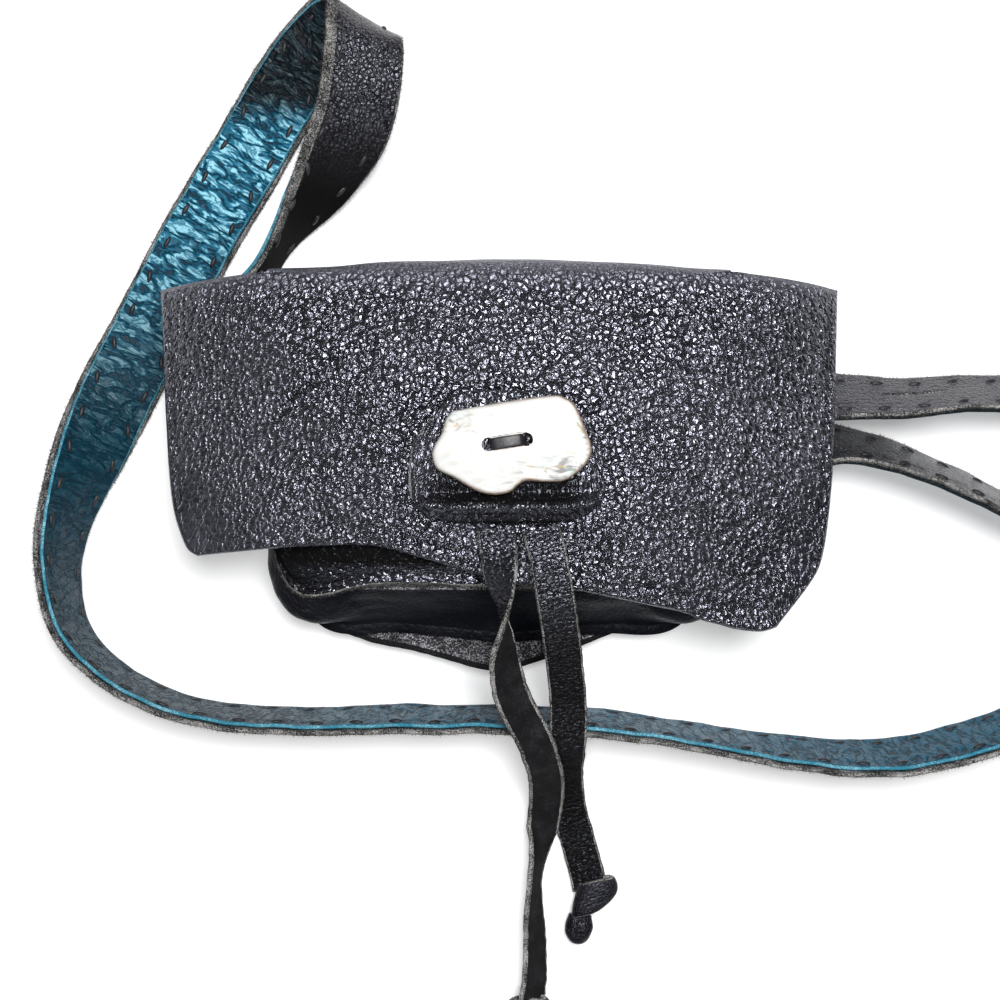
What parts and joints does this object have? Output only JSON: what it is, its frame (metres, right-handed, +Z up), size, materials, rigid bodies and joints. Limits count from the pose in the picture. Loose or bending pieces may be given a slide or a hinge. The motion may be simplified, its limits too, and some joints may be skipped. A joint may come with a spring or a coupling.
{
  "type": "leather crossbody bag",
  "caption": "Small soft leather crossbody bag with a wide overhanging flap, shell button with hanging ties, gusseted pouch and a long two-sided strap held in a back sleeve.",
  "frame": {"origin": "middle of the flat outer face of the back sleeve, the face that the bag rests on", "axes": "+X towards the bag's right side, +Y towards its top edge, +Z up from the back to the flap"},
  "size_m": [0.3042, 0.3006, 0.0503],
  "materials": {
    "black_leather": "glossy pebbled grain",
    "black_lining": "matte",
    "black_suede": "suede outside",
    "teal_leather": "satin",
    "shell": "polished shell",
    "brass": "satin"
  },
  "bodies": {
    "pouch": {"back_panel": "black_suede", "front_panel": "black_leather", "gusset": "black_leather", "back_sleeve": "black_leather", "strap_outer": "black_leather", "strap_lining": "teal_leather", "strap_stud": "brass", "snap_stud": "brass", "snap_stud_washer": "brass"},
    "flap": {"flap_outer": "black_leather", "flap_lining": "black_lining", "button_patch": "black_leather", "shell_button": "shell", "button_lace": "black_leather", "snap_socket": "brass", "snap_socket_washer": "brass", "tie_left": "black_leather", "tie_left_knot": "black_leather", "tie_right": "black_leather", "tie_right_knot": "black_leather"}
  },
  "joints": [
    {"name": "flap_hinge", "type": "hinge", "parent": "pouch", "child": "flap", "pos_m": [0, 0.033, 0.0375], "axis": [-1, 0, 0], "range_deg": [0, 120]}
  ]
}
